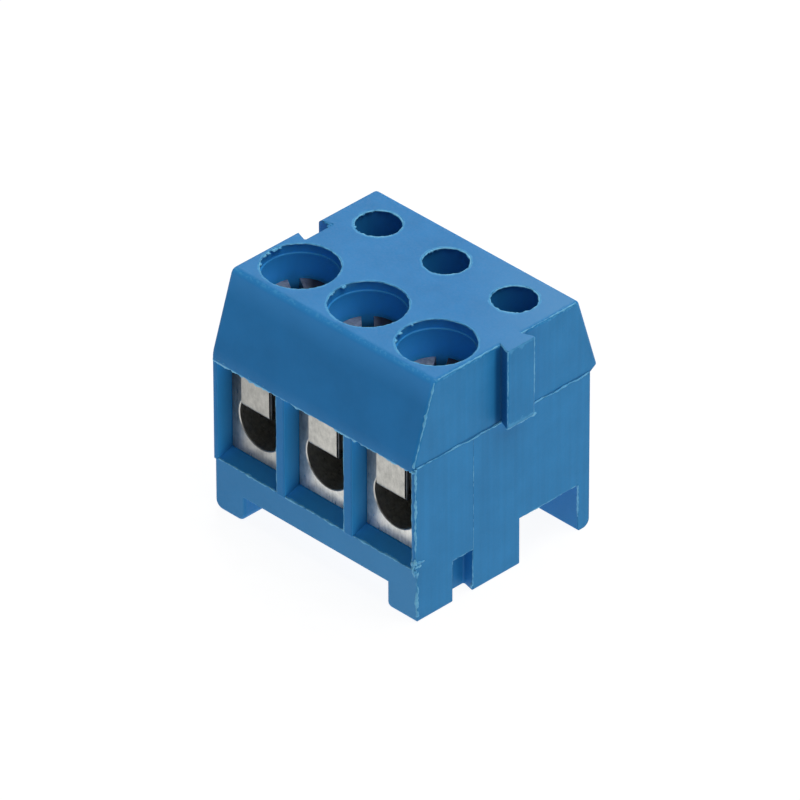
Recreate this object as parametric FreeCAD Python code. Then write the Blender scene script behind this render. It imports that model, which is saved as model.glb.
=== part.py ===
"""Pluggable three-pole screw terminal block, 5 mm pitch.

Millimetres, +Z up. The origin is on the board surface, below the middle of the
housing. The wire entries face -Y, and the header pins come up from below.
"""
import FreeCAD
import Part

import math
import os

from FreeCAD import Vector

# ---- driving dimensions ----
POLES = 3
PITCH = 5.0

BODY_WIDTH = POLES * PITCH
CAP_WIDTH = BODY_WIDTH - 0.08
HEIGHT = 14.4
CAP_DEPTH = 13.46
FRONT = -CAP_DEPTH / 2              # front lip of the cap; every Y below starts from it
BACK = CAP_DEPTH / 2

# cap, seen from the side
CAP_BOTTOM = 9.4
CAP_SPLIT = 9.6                     # mould split, where the cap meets the body
CAP_LIP_TOP = 9.8
CAP_FRONT_SLOPE = 1.5
CAP_BACK_SLOPE = 1.41
CAP_LIP_ROUND = 2.0
CAP_BROW_ROUND = 0.4                # where the top turns down to the front slope
CAP_TOP_BACK_ROUND = 0.3
CAP_BACK_ROUND = 0.12
CAP_END_ROUND = 0.2

# lower body
WALL_FRONT = FRONT + 0.1            # front of the end walls and dividers
SILL_FRONT = FRONT + 0.2            # front of the sill and feet below the wire pockets
BODY_BACK = FRONT + 12.84
SILL_TOP = 3.14
UNDERSIDE = 1.57                    # between the feet
FOOT_THICKNESS = 2.2
FOOT_BACK = FRONT + 7.68
CHANNEL_BACK = FRONT + 11.99        # the header's base fills the channel behind the feet
CHANNEL_TOP = 2.92

# wire pockets and the chambers behind them
POCKET_WIDTH = 4.38
BLOCK_FRONT = FRONT + 1.15
CHAMBER_FLOOR = 3.5
CHAMBER_TOP = 9.35
CHAMBER_PLAY = 0.1                  # behind the contact's riveted plate
SOCKET_CHAMBER_WIDTH = 3.6
SOCKET_CHAMBER_BACK = FRONT + 11.5

# holes in the top
SCREW_Y = FRONT + 4.12
WELL_RADIUS = 2.16
WELL_RIM_DEPTH = 0.55
WELL_LOWER_RADIUS = 2.08
SOCKET_Y = FRONT + 9.8
TEST_HOLE_RADIUS = 1.3
PIN_HOLE_RADIUS = 0.85
PIN_FUNNEL_RADIUS = 1.05
PIN_FUNNEL_DEPTH = 0.2

# dovetails that join blocks side by side
RIB_REACH = BODY_WIDTH / 2 + 0.71   # both ribs end here, measured from the middle
UPPER_DOVETAIL_Y = FRONT + 7.07
UPPER_ROOT_WIDTH = 1.46
UPPER_UNDERCUT = 0.3
LOWER_DOVETAIL_Y = FRONT + 3.53
LOWER_ROOT_WIDTH = 1.4
LOWER_UNDERCUT = 0.19
LOWER_GROOVE_TOP = 2.62
GROOVE_DEPTH = 0.87
GROOVE_PLAY = 0.05                  # between a rib and its groove, on each side
DOVETAIL_ROUND = 0.1                # along the two sharp edges of each rib and groove

# clamp block
BLOCK_WIDTH = 4.36
BLOCK_DEPTH = 2 * (SCREW_Y - BLOCK_FRONT)
BLOCK_BACK = BLOCK_FRONT + BLOCK_DEPTH
BLOCK_TOP = 9.3
WIRE_HOLE_RADIUS = 1.6
WIRE_HOLE_Z = 5.96
WIRE_HOLE_BEVEL = 0.05
RIVET_RADIUS = 0.35                 # two pips hold the contact on the back of the block
RIVET_HEAD_RADIUS = 0.5
RIVET_HEAD_HEIGHT = 0.2
RIVET_ROOT = 0.5                    # of each pip, inside the block
RIVET_SPACING = 1.6
RIVET_Z = 8.2

# clamp screw, M3 x 0.5
THREAD_RADIUS = 1.5
RUNNING_CLEARANCE = 0.05
HEAD_RADIUS = 1.9
HEAD_HEIGHT = 1.3
HEAD_TOP = 12.63                    # with the clamp fully open
HEAD_CHAMFER = 0.15
SLOT_WIDTH = 0.65
SLOT_DEPTH = 0.75
TIP_CHAMFER = 0.3
SLOT_ANGLES = (-32.0, -43.0, -54.0) # degrees from +X, one per pole
TURNED_IN = (0.13, 0.13, 0.29)      # each screw and its guard, down from fully open

# wire guard
GUARD_THICKNESS = 0.3
GUARD_WIDTH = 2.06
GUARD_FRONT = FRONT + 0.77
GUARD_HEIGHT = 2.3
GUARD_BEND_RADIUS = 0.34            # outside of each bend
GUARD_LUG_HEIGHT = 0.65
GUARD_LUG_GAP = 0.15                # between the rear lug and the block

# socket contact
SHEET = 0.35
CONTACT_WIDTH = 2.9
CONTACT_TOP = 9.25
PLATE_BOTTOM = 7.7
BACKPLATE_FRONT = FRONT + 8.1
BACKPLATE_BOTTOM = 4.0
LEAF_TOP = 7.6
LEAF_PINCH = 0.4                    # half the gap between the leaves where they grip a pin
LEAF_FLARE = 0.85                   # half the gap between the leaves at their free ends
LEAF_STRAIGHT = 0.7                 # each leaf, before it turns in
LEAF_MOUTH = 0.9                    # free ends, behind the pin's axis
SHEET_BEND_RADIUS = 0.5

EDGE_ROUND = 0.1
FOOT_ROUND = 0.14
LEFT_FOOT_ROUND = 0.5               # both sides of the left foot, seen from the front
RIGHT_FOOT_ROUND = 0.3              # inner side of the right foot
BACK_FOOT_ROUND = 0.45
PAST = 1.0                          # how far a cutting solid runs past the face that it opens

POLE_X = [PITCH * (i - (POLES - 1) / 2) for i in range(POLES)]
UP = Vector(0, 0, 1)
ALONG_Y = Vector(0, 1, 0)


# ---- shape helpers ----
def block(x0, x1, y0, y1, z0, z1):
    """A box between two corners."""
    return Part.makeBox(x1 - x0, y1 - y0, z1 - z0, Vector(x0, y0, z0))


def closed_face(points):
    return Part.Face(Part.makePolygon(points + points[:1]))


def side_profile(points_yz, x0, x1):
    """A solid with one outline in the Y-Z plane, from x0 to x1."""
    face = closed_face([Vector(x0, y, z) for y, z in points_yz])
    return face.extrude(Vector(x1 - x0, 0, 0))


def plan_profile(points_xy, z0, z1):
    """A solid with one outline seen from above, from z0 to z1."""
    face = closed_face([Vector(x, y, z0) for x, y in points_xy])
    return face.extrude(Vector(0, 0, z1 - z0))


def upright(radius, x, y, z0, z1):
    return Part.makeCylinder(radius, z1 - z0, Vector(x, y, z0), UP)


def near(a, b):
    return abs(a - b) < 1e-4


def stands_upright(edge):
    first, last = [vertex.Point for vertex in edge.Vertexes]
    return near(first.x, last.x) and near(first.y, last.y)


def round_edges(solid, radius, wanted, only_uprights=False):
    """Round every edge whose two ends both satisfy wanted."""
    edges = [
        edge
        for edge in solid.Edges
        if len(edge.Vertexes) == 2
        and all(wanted(vertex.Point) for vertex in edge.Vertexes)
        and (stands_upright(edge) or not only_uprights)
    ]
    return solid.makeFillet(radius, edges)


def dovetail(x_root, x_tip, y, root_width, undercut, z0, z1, x_start=None):
    """A bar that is wider at x_tip than at x_root; x_start is where a straight tenon behind it begins."""
    half_root = root_width / 2
    half_tip = half_root + undercut
    outline = [
        (x_root, y + half_root),
        (x_tip, y + half_tip),
        (x_tip, y - half_tip),
        (x_root, y - half_root),
    ]
    if x_start is not None:
        outline += [(x_start, y - half_root), (x_start, y + half_root)]
    bar = plan_profile(outline, z0, z1)
    return round_edges(bar, DOVETAIL_ROUND, lambda p: near(p.x, x_tip), only_uprights=True)


# ---- housing ----
def cap_solid():
    """The sloping cap: its long edges are rounded first, then each end's outline."""
    half = CAP_WIDTH / 2
    outline = [
        (FRONT, CAP_BOTTOM),
        (FRONT, CAP_LIP_TOP),
        (FRONT + CAP_FRONT_SLOPE, HEIGHT),
        (BACK - CAP_BACK_SLOPE, HEIGHT),
        (BACK, CAP_LIP_TOP),
        (BODY_BACK, CAP_BOTTOM),
    ]
    cap = side_profile(outline, -half, half)
    long_edges = [
        (FRONT, CAP_LIP_TOP, CAP_LIP_ROUND),
        (FRONT + CAP_FRONT_SLOPE, HEIGHT, CAP_BROW_ROUND),
        (BACK - CAP_BACK_SLOPE, HEIGHT, CAP_TOP_BACK_ROUND),
        (BACK, CAP_LIP_TOP, CAP_BACK_ROUND),
    ]
    for y, z, radius in long_edges:
        cap = round_edges(cap, radius, lambda p: near(p.y, y) and near(p.z, z))
    for end in (-half, half):
        cap = round_edges(cap, CAP_END_ROUND, lambda p: near(p.x, end) and p.z > CAP_SPLIT)
    return cap


def body_solid():
    outline = [
        (SILL_FRONT, 0),
        (SILL_FRONT, SILL_TOP),
        (WALL_FRONT, SILL_TOP),
        (WALL_FRONT, CAP_SPLIT),
        (BODY_BACK, CAP_SPLIT),
        (BODY_BACK, 0),
    ]
    half = BODY_WIDTH / 2
    body = side_profile(outline, -half, half)
    inside_foot = half - FOOT_THICKNESS
    between_feet = block(-inside_foot, inside_foot, FRONT - PAST, FOOT_BACK, -PAST, UNDERSIDE)
    channel = block(-half - PAST, half + PAST, FOOT_BACK, CHANNEL_BACK, -PAST, CHANNEL_TOP)
    body = body.cut([between_feet, channel])
    body = round_edges(body, BACK_FOOT_ROUND, lambda p: near(p.y, BODY_BACK) and near(p.z, 0))
    foot_sides = [(-half, LEFT_FOOT_ROUND), (-inside_foot, LEFT_FOOT_ROUND), (inside_foot, RIGHT_FOOT_ROUND)]
    for x, radius in foot_sides:
        body = round_edges(body, radius, lambda p: near(p.x, x) and near(p.z, 0) and p.y < CHANNEL_BACK)
    return round_edges(body, FOOT_ROUND, lambda p: near(p.z, 0) and p.y < CHANNEL_BACK + EDGE_ROUND)


def pole_cavity(x):
    """All that is hollow at one pole: pocket, chambers, well, test hole and pin entry."""
    half = POCKET_WIDTH / 2
    chamber_back = BLOCK_BACK + SHEET + CHAMBER_PLAY
    pocket = [
        (FRONT - PAST, SILL_TOP),
        (SILL_FRONT, SILL_TOP),
        (BLOCK_FRONT, CHAMBER_FLOOR),
        (chamber_back, CHAMBER_FLOOR),
        (chamber_back, CHAMBER_TOP),
        (BLOCK_FRONT, CHAMBER_TOP),
        (BLOCK_FRONT, CAP_BOTTOM),
        (FRONT - PAST, CAP_BOTTOM),
    ]
    cavity = side_profile(pocket, x - half, x + half)
    socket_half = SOCKET_CHAMBER_WIDTH / 2
    socket_chamber = block(
        x - socket_half, x + socket_half, BLOCK_BACK, SOCKET_CHAMBER_BACK, CHAMBER_FLOOR, CHAMBER_TOP
    )
    rim = upright(WELL_RADIUS, x, SCREW_Y, HEIGHT - WELL_RIM_DEPTH, HEIGHT + PAST)
    well = upright(WELL_LOWER_RADIUS, x, SCREW_Y, CHAMBER_TOP - PAST, HEIGHT)
    test_hole = upright(TEST_HOLE_RADIUS, x, SOCKET_Y, CHAMBER_TOP - PAST, HEIGHT + PAST)
    pin_hole = upright(PIN_HOLE_RADIUS, x, SOCKET_Y, CHANNEL_TOP - PAST, CHAMBER_FLOOR + PAST)
    funnel = Part.makeCone(
        PIN_FUNNEL_RADIUS, PIN_HOLE_RADIUS, PIN_FUNNEL_DEPTH, Vector(x, SOCKET_Y, CHANNEL_TOP), UP
    )
    return cavity.fuse([socket_chamber, rim, well, test_hole, pin_hole, funnel])


def housing():
    half_cap = CAP_WIDTH / 2
    half_body = BODY_WIDTH / 2
    solid = cap_solid().fuse(body_solid())

    # male dovetails: upper on the right end, lower on the left foot
    solid = solid.fuse(
        [
            dovetail(
                half_cap, RIB_REACH, UPPER_DOVETAIL_Y, UPPER_ROOT_WIDTH, UPPER_UNDERCUT,
                CAP_SPLIT, HEIGHT, x_start=half_cap - PAST,
            ),
            dovetail(
                -half_body, -RIB_REACH, LOWER_DOVETAIL_Y, LOWER_ROOT_WIDTH, LOWER_UNDERCUT,
                0, LOWER_GROOVE_TOP - GROOVE_PLAY, x_start=PAST - half_body,
            ),
        ]
    )
    # female dovetails: upper on the left end, lower in the right foot
    upper_groove = dovetail(
        -half_cap, -half_cap + GROOVE_DEPTH, UPPER_DOVETAIL_Y,
        UPPER_ROOT_WIDTH + 2 * GROOVE_PLAY, UPPER_UNDERCUT, CAP_SPLIT, HEIGHT + PAST,
    )
    lower_groove = dovetail(
        half_body, half_body - GROOVE_DEPTH, LOWER_DOVETAIL_Y,
        LOWER_ROOT_WIDTH + 2 * GROOVE_PLAY, LOWER_UNDERCUT, -PAST, LOWER_GROOVE_TOP,
    )
    solid = solid.cut([upper_groove, lower_groove])
    solid = solid.cut([pole_cavity(x) for x in POLE_X]).removeSplitter()

    wall_sides = [x + side * POCKET_WIDTH / 2 for x in POLE_X for side in (-1, 1)] + [-half_body, half_body]

    def on_wall_front(p):
        return near(p.y, WALL_FRONT) and any(near(p.x, side) for side in wall_sides)

    return round_edges(solid, EDGE_ROUND, on_wall_front, only_uprights=True)


# ---- metal parts, all for one pole at x ----
def clamp_block(x):
    half = BLOCK_WIDTH / 2
    solid = block(x - half, x + half, BLOCK_FRONT, BLOCK_BACK, CHAMBER_FLOOR, BLOCK_TOP)
    solid = round_edges(solid, EDGE_ROUND, lambda p: True)
    wire_start = Vector(x, BLOCK_FRONT - PAST, WIRE_HOLE_Z)
    wire_hole = Part.makeCylinder(WIRE_HOLE_RADIUS, BLOCK_DEPTH + 2 * PAST, wire_start, ALONG_Y)
    bevel = Part.makeCone(
        WIRE_HOLE_RADIUS + WIRE_HOLE_BEVEL, WIRE_HOLE_RADIUS, WIRE_HOLE_BEVEL,
        Vector(x, BLOCK_FRONT, WIRE_HOLE_Z), ALONG_Y,
    )
    thread_hole = upright(THREAD_RADIUS, x, SCREW_Y, WIRE_HOLE_Z, BLOCK_TOP + PAST)
    solid = solid.cut([wire_hole, bevel, thread_hole])
    for rivet_x in rivet_places(x):
        root = Vector(rivet_x, BLOCK_BACK - RIVET_ROOT, RIVET_Z)
        shank = Part.makeCylinder(RIVET_RADIUS, RIVET_ROOT + SHEET, root, ALONG_Y)
        head_start = Vector(rivet_x, BLOCK_BACK + SHEET, RIVET_Z)
        head = Part.makeCone(RIVET_HEAD_RADIUS, RIVET_RADIUS, RIVET_HEAD_HEIGHT, head_start, ALONG_Y)
        solid = solid.fuse([shank, head])
    return solid


def rivet_places(x):
    return (x - RIVET_SPACING / 2, x + RIVET_SPACING / 2)


def clamp_screw(x, slot_angle, turned_in):
    tip_z = WIRE_HOLE_Z + guard_rise() + GUARD_THICKNESS - turned_in
    head_top = HEAD_TOP - turned_in
    under_head = head_top - HEAD_HEIGHT
    shank_radius = THREAD_RADIUS - RUNNING_CLEARANCE
    tip_point = Vector(x, SCREW_Y, tip_z)
    tip = Part.makeCone(shank_radius - TIP_CHAMFER, shank_radius, TIP_CHAMFER, tip_point, UP)
    shank = upright(shank_radius, x, SCREW_Y, tip_z + TIP_CHAMFER, under_head)
    head = upright(HEAD_RADIUS, x, SCREW_Y, under_head, head_top)
    top_rim = [edge for edge in head.Edges if near(edge.BoundBox.ZMin, head_top)]
    head = head.makeChamfer(HEAD_CHAMFER, top_rim)
    slot_reach = HEAD_RADIUS + PAST
    slot = block(
        x - slot_reach, x + slot_reach, SCREW_Y - SLOT_WIDTH / 2, SCREW_Y + SLOT_WIDTH / 2,
        head_top - SLOT_DEPTH, head_top + PAST,
    )
    slot.rotate(Vector(x, SCREW_Y, 0), UP, slot_angle)
    return head.fuse([shank, tip]).cut(slot).removeSplitter()


def guard_rise():
    """From the hole's axis up to the open strip's underside: its top corners sit in the crown."""
    corner_room = 0.02
    crown = math.sqrt((WIRE_HOLE_RADIUS - corner_room) ** 2 - (GUARD_WIDTH / 2) ** 2)
    return crown - GUARD_THICKNESS


def bent_strip(x, width, outline, bends, radius, thickness):
    """A sheet strip, flat across X: bends are the outside corners, rounded on both faces."""
    strip = side_profile(outline, x - width / 2, x + width / 2)
    for y, z, inside_y, inside_z in bends:
        strip = round_edges(strip, radius, lambda p: near(p.y, y) and near(p.z, z))
        strip = round_edges(
            strip, radius - thickness, lambda p: near(p.y, inside_y) and near(p.z, inside_z)
        )
    return strip


def wire_guard(x, turned_in):
    bottom = WIRE_HOLE_Z + guard_rise() - turned_in
    top = bottom + GUARD_THICKNESS
    tab_top = bottom + GUARD_HEIGHT
    lug_top = bottom + GUARD_LUG_HEIGHT
    lug_front = BLOCK_BACK + GUARD_LUG_GAP
    lug_back = lug_front + GUARD_THICKNESS
    leg_back = GUARD_FRONT + GUARD_THICKNESS
    outline = [
        (GUARD_FRONT, bottom),
        (lug_back, bottom),
        (lug_back, lug_top),
        (lug_front, lug_top),
        (lug_front, top),
        (leg_back, top),
        (leg_back, tab_top),
        (GUARD_FRONT, tab_top),
    ]
    bends = [(GUARD_FRONT, bottom, leg_back, top), (lug_back, bottom, lug_front, top)]
    return bent_strip(x, GUARD_WIDTH, outline, bends, GUARD_BEND_RADIUS, GUARD_THICKNESS)


def socket_contact(x):
    plate_back = BLOCK_BACK + SHEET
    backplate_back = BACKPLATE_FRONT + SHEET
    outline = [
        (BLOCK_BACK, PLATE_BOTTOM),
        (BLOCK_BACK, CONTACT_TOP),
        (backplate_back, CONTACT_TOP),
        (backplate_back, BACKPLATE_BOTTOM),
        (BACKPLATE_FRONT, BACKPLATE_BOTTOM),
        (BACKPLATE_FRONT, CONTACT_TOP - SHEET),
        (plate_back, CONTACT_TOP - SHEET),
        (plate_back, PLATE_BOTTOM),
    ]
    bends = [
        (BLOCK_BACK, CONTACT_TOP, plate_back, CONTACT_TOP - SHEET),
        (backplate_back, CONTACT_TOP, BACKPLATE_FRONT, CONTACT_TOP - SHEET),
    ]
    strip = bent_strip(x, CONTACT_WIDTH, outline, bends, SHEET_BEND_RADIUS, SHEET)
    rivet_holes = [
        Part.makeCylinder(RIVET_RADIUS, 2 * PAST, Vector(rivet_x, BLOCK_BACK - PAST, RIVET_Z), ALONG_Y)
        for rivet_x in rivet_places(x)
    ]
    leaves = [socket_leaf(x, side) for side in (-1, 1)]
    return strip.cut(rivet_holes).fuse(leaves).removeSplitter()


def socket_leaf(x, side):
    """One side of the pin grip, seen from above: straight back, in to the pin, then flared."""
    bend = BACKPLATE_FRONT + LEAF_STRAIGHT
    mouth = SOCKET_Y + LEAF_MOUTH
    inner = CONTACT_WIDTH / 2 - SHEET
    inside = [(inner, BACKPLATE_FRONT), (inner, bend), (LEAF_PINCH, SOCKET_Y), (LEAF_FLARE, mouth)]
    outside = [(from_middle + SHEET, y) for from_middle, y in reversed(inside)]
    outline = [(x + side * from_middle, y) for from_middle, y in inside + outside]
    return plan_profile(outline, BACKPLATE_BOTTOM, LEAF_TOP)


def export(solid, name):
    solid.exportStep(os.path.join("parts", name + ".step"))


def main():
    os.makedirs("parts", exist_ok=True)
    export(housing(), "housing")
    for number, (x, slot_angle, turned_in) in enumerate(zip(POLE_X, SLOT_ANGLES, TURNED_IN), start=1):
        export(clamp_block(x), f"clamp_block_{number}")
        export(clamp_screw(x, slot_angle, turned_in), f"clamp_screw_{number}")
        export(wire_guard(x, turned_in), f"wire_guard_{number}")
        export(socket_contact(x), f"socket_contact_{number}")


main()
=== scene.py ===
"""Looks of a pluggable three-pole screw terminal block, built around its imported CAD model."""

import math
import random

import bmesh
import bpy
from mathutils import Matrix, Vector, noise


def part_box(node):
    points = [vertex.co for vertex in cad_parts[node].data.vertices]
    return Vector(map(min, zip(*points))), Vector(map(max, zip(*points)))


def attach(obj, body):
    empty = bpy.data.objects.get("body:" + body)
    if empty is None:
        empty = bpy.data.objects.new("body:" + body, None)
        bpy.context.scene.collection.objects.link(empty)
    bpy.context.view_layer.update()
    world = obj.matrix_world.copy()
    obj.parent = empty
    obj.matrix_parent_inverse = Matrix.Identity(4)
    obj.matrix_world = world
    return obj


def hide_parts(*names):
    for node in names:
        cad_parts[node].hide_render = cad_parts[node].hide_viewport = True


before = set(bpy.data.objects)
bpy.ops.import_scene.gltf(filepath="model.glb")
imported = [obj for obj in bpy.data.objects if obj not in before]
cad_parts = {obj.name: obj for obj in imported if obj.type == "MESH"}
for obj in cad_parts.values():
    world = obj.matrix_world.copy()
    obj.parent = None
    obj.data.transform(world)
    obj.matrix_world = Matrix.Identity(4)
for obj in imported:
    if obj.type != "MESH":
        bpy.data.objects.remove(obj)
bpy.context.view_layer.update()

MM = 0.001
POLES = (1, 2, 3)


# ---- places, in millimetres: read from the frame, or repeated from the part's dimensions ----
def box_mm(node_name):
    """A CAD node's lowest and highest corners."""
    low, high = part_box(node_name)
    return low / MM, high / MM


HOUSING_LOW, HOUSING_HIGH = box_mm("housing")
FRONT, BACK, TOP = HOUSING_LOW.y, HOUSING_HIGH.y, HOUSING_HIGH.z
RIB_TIP = HOUSING_HIGH.x
POLE_X = [sum(corner.x for corner in box_mm(f"clamp_block_{pole}")) / 2 for pole in POLES]

HALF_BODY = 7.5
HALF_CAP = 7.46
CAP_BOTTOM = 9.4
SPLIT = 9.6
TOP_FRONT = FRONT + 1.5
TOP_BACK = BACK - 1.41
WALL_FRONT = FRONT + 0.1
SILL_FRONT = FRONT + 0.2
SILL_TOP = 3.14
BODY_BACK = FRONT + 12.84
FOOT_BACK = FRONT + 7.68
CHANNEL_BACK = FRONT + 11.99
CHANNEL_TOP = 2.92
HALF_POCKET = 2.19
WELL_Y = FRONT + 4.12
WELL_RADIUS = 2.16
TEST_HOLE_Y = FRONT + 9.8
TEST_HOLE_RADIUS = 1.3
RIB_Y = FRONT + 7.07
RIB_HALF_ROOT = 0.73
RIB_HALF_TIP = 1.03
NOTCH_HALF_FLOOR = 1.13
NOTCH_DEPTH = 0.87
GROOVE_Y = FRONT + 3.53
GROOVE_HALF_MOUTH = 0.75
GROOVE_TOP = 2.62
GUARD_FRONT = FRONT + 0.77
SLOT_ANGLES = (-32.0, -43.0, -54.0)


# ---- node helpers ----
def new_material(name):
    """A material with an empty node tree and its Principled shader."""
    material = bpy.data.materials.new(name)
    material.use_nodes = True
    tree = material.node_tree
    tree.nodes.clear()
    shader = tree.nodes.new("ShaderNodeBsdfPrincipled")
    output = tree.nodes.new("ShaderNodeOutputMaterial")
    tree.links.new(shader.outputs["BSDF"], output.inputs["Surface"])
    return material, tree, shader


def add(tree, kind, inputs=None, **settings):
    """A node with its settings and inputs; an input that is a socket is linked."""
    node = tree.nodes.new(kind)
    for key, value in settings.items():
        setattr(node, key, value)
    for key, value in (inputs or {}).items():
        if isinstance(value, bpy.types.NodeSocket):
            tree.links.new(value, node.inputs[key])
        else:
            node.inputs[key].default_value = value
    return node


def calculate(tree, operation, first, second=0.0):
    """One sum on sockets or plain numbers."""
    return add(tree, "ShaderNodeMath", {0: first, 1: second}, operation=operation).outputs[0]


def product(tree, *factors):
    """Masks and plain numbers, multiplied together."""
    result = factors[0]
    for factor in factors[1:]:
        result = calculate(tree, "MULTIPLY", result, factor)
    return result


def noise_of(tree, scale, detail=3.0, roughness=0.5, stretch=(1.0, 1.0, 1.0)):
    """Noise in object coordinates, with scale waves to a metre; stretch multiplies each axis."""
    place = add(tree, "ShaderNodeTexCoord").outputs["Object"]
    vector = add(tree, "ShaderNodeMapping", {"Vector": place, "Scale": stretch}).outputs[0]
    return add(
        tree, "ShaderNodeTexNoise",
        {"Vector": vector, "Scale": scale, "Detail": detail, "Roughness": roughness},
    ).outputs["Fac"]


def place_axis(tree, axis):
    """One object coordinate, in metres."""
    place = add(tree, "ShaderNodeTexCoord").outputs["Object"]
    return add(tree, "ShaderNodeSeparateXYZ", {"Vector": place}).outputs[axis]


def facing_axis(tree, axis):
    """How much the surface faces along an axis, either way."""
    normal = add(tree, "ShaderNodeTexCoord").outputs["Normal"]
    part = add(tree, "ShaderNodeSeparateXYZ", {"Vector": normal}).outputs[axis]
    return calculate(tree, "ABSOLUTE", part)


def between(tree, value, low, high):
    """Zero at low and one at high; low may be the larger."""
    node = add(tree, "ShaderNodeMapRange", {"Value": value, "From Min": low, "From Max": high})
    return node.outputs["Result"]


def band(tree, value, low, high, soft):
    """One between low and high, and zero outside, with soft edges."""
    return product(tree, between(tree, value, low - soft, low), between(tree, value, high + soft, high))


def ramp(tree, factor, stops):
    """A colour ramp through (position, colour) stops; a plain number is a grey."""
    node = add(tree, "ShaderNodeValToRGB", {"Fac": factor})
    elements = node.color_ramp.elements
    while len(elements) < len(stops):
        elements.new(0.5)
    for element, (position, colour) in zip(elements, stops):
        element.position = position
        if isinstance(colour, (int, float)):
            colour = (colour, colour, colour)
        element.color = (*colour, 1.0)
    return node.outputs["Color"]


def blend(tree, factor, colour, other, mode="MIX"):
    """Mixes two colours; each may be a socket or a plain triple."""
    node = tree.nodes.new("ShaderNodeMix")
    node.data_type = "RGBA"
    node.blend_type = mode
    # a mix of colours has its factor, colours and result on sockets 0, 6, 7 and 2
    for socket, value in ((node.inputs[0], factor), (node.inputs[6], colour), (node.inputs[7], other)):
        if isinstance(value, bpy.types.NodeSocket):
            tree.links.new(value, socket)
        elif isinstance(value, tuple):
            socket.default_value = (*value, 1.0)
        else:
            socket.default_value = value
    return node.outputs[2]


def bumped(tree, height, distance, strength, normal=None):
    """The surface's normal, or the given one, roughened by a height."""
    inputs = {"Height": height, "Distance": distance, "Strength": strength}
    if normal is not None:
        inputs["Normal"] = normal
    return add(tree, "ShaderNodeBump", inputs).outputs["Normal"]


def openness(tree, reach):
    """One where nothing is near in front of the surface, lower inside hollows and corners."""
    node = add(tree, "ShaderNodeAmbientOcclusion", {"Distance": reach}, samples=8)
    return node.outputs["AO"]


def edge_mask(tree, radius):
    """One on sharp edges and zero on open faces, with the softened normal that finds them."""
    soft_normal = add(tree, "ShaderNodeBevel", {"Radius": radius}, samples=6).outputs["Normal"]
    true_normal = add(tree, "ShaderNodeNewGeometry").outputs["Normal"]
    along = add(
        tree, "ShaderNodeVectorMath", {0: soft_normal, 1: true_normal}, operation="DOT_PRODUCT"
    ).outputs["Value"]
    return between(tree, along, 0.995, 0.88), soft_normal


# ---- materials ----
PLASTIC_DEEP = (0.019, 0.212, 0.515)
PLASTIC_BODY = (0.025, 0.244, 0.585)
# painted highlight colour for the lit brow
PLASTIC_PAINTED_HIGHLIGHT = (0.055, 0.350, 0.830)
# painted light colour for the wells, the pockets and their walls
PLASTIC_PAINTED_HOLLOW_LIGHT = (0.052, 0.440, 0.960)
# painted shade colour for deep hollows, the rib's root and fine shadow lines
PLASTIC_PAINTED_SHADE = (0.006, 0.090, 0.270)
# the pale colour of thin flash, also used for painted edge highlights
PLASTIC_FLASH_AND_HIGHLIGHT = (0.085, 0.400, 0.720)
# painted light colour for the lower front, standing in for light from the floor
PLASTIC_PAINTED_SILL_LIGHT = (0.077, 0.352, 0.705)
# painted sheen colour for the top towards its back right corner
PLASTIC_PAINTED_SHEEN = (0.062, 0.275, 0.575)
PLASTIC_THIN = (0.170, 0.540, 0.810)
# painted shade that darkens and deepens the blue of the fronts above the sill
FRONT_PAINTED_SHADE = (0.60, 0.94, 1.0)


def on_ends(tree):
    """One on faces that look along the row of poles."""
    return between(tree, facing_axis(tree, "X"), 0.8, 0.95)


def across_pole(tree):
    """Distance along X from the nearest pole's middle, with its sign."""
    half_pitch = (POLE_X[1] - POLE_X[0]) / 2 * MM
    wrapped = {0: place_axis(tree, "X"), 1: half_pitch, 2: -half_pitch}
    return add(tree, "ShaderNodeMath", wrapped, operation="WRAP").outputs[0]


def ragged(tree, value, reach):
    """A distance in metres, pushed about by noise by up to reach millimetres."""
    push = calculate(tree, "SUBTRACT", noise_of(tree, 1900.0, detail=4.0, roughness=0.7), 0.5)
    return calculate(tree, "ADD", value, product(tree, push, reach * MM))


def top_edge_highlights(tree):
    """Broken painted highlight specks just under every edge of the top."""
    under_top = band(tree, place_axis(tree, "Z"), (TOP - 0.11) * MM, (TOP - 0.04) * MM, 0.04 * MM)
    specks = between(tree, noise_of(tree, 5200.0, detail=2.0), 0.5, 0.65)
    return product(tree, under_top, specks, 0.5)


def end_edge_highlights(tree):
    """A ragged painted highlight band along the top of the ends and rib, and another across the rib's
    lower end.
    """
    height = ragged(tree, place_axis(tree, "Z"), 1.1)
    top_band = between(tree, height, (TOP - 0.17) * MM, (TOP - 0.08) * MM)
    foot_band = between(tree, height, (SPLIT + 0.24) * MM, (SPLIT + 0.14) * MM)
    on_rib = between(tree, place_axis(tree, "X"), (RIB_TIP - 0.1) * MM, (RIB_TIP - 0.05) * MM)
    bands = calculate(tree, "MAXIMUM", top_band, product(tree, foot_band, on_rib))
    return product(tree, bands, on_ends(tree), 0.6)


def rim_highlights(tree, centre_y, radius, reach):
    """A ragged painted highlight ring on the top face, round each pole's hole."""
    across = across_pole(tree)
    behind = calculate(tree, "SUBTRACT", place_axis(tree, "Y"), centre_y * MM)
    square = calculate(tree, "ADD", product(tree, across, across), product(tree, behind, behind))
    distance = ragged(tree, calculate(tree, "SQRT", square), reach * 3)
    ring = between(tree, distance, (radius + reach) * MM, (radius + reach * 0.4) * MM)
    on_top = between(tree, place_axis(tree, "Z"), (TOP - 0.06) * MM, (TOP - 0.03) * MM)
    return product(tree, ring, on_top, 0.7)


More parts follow.
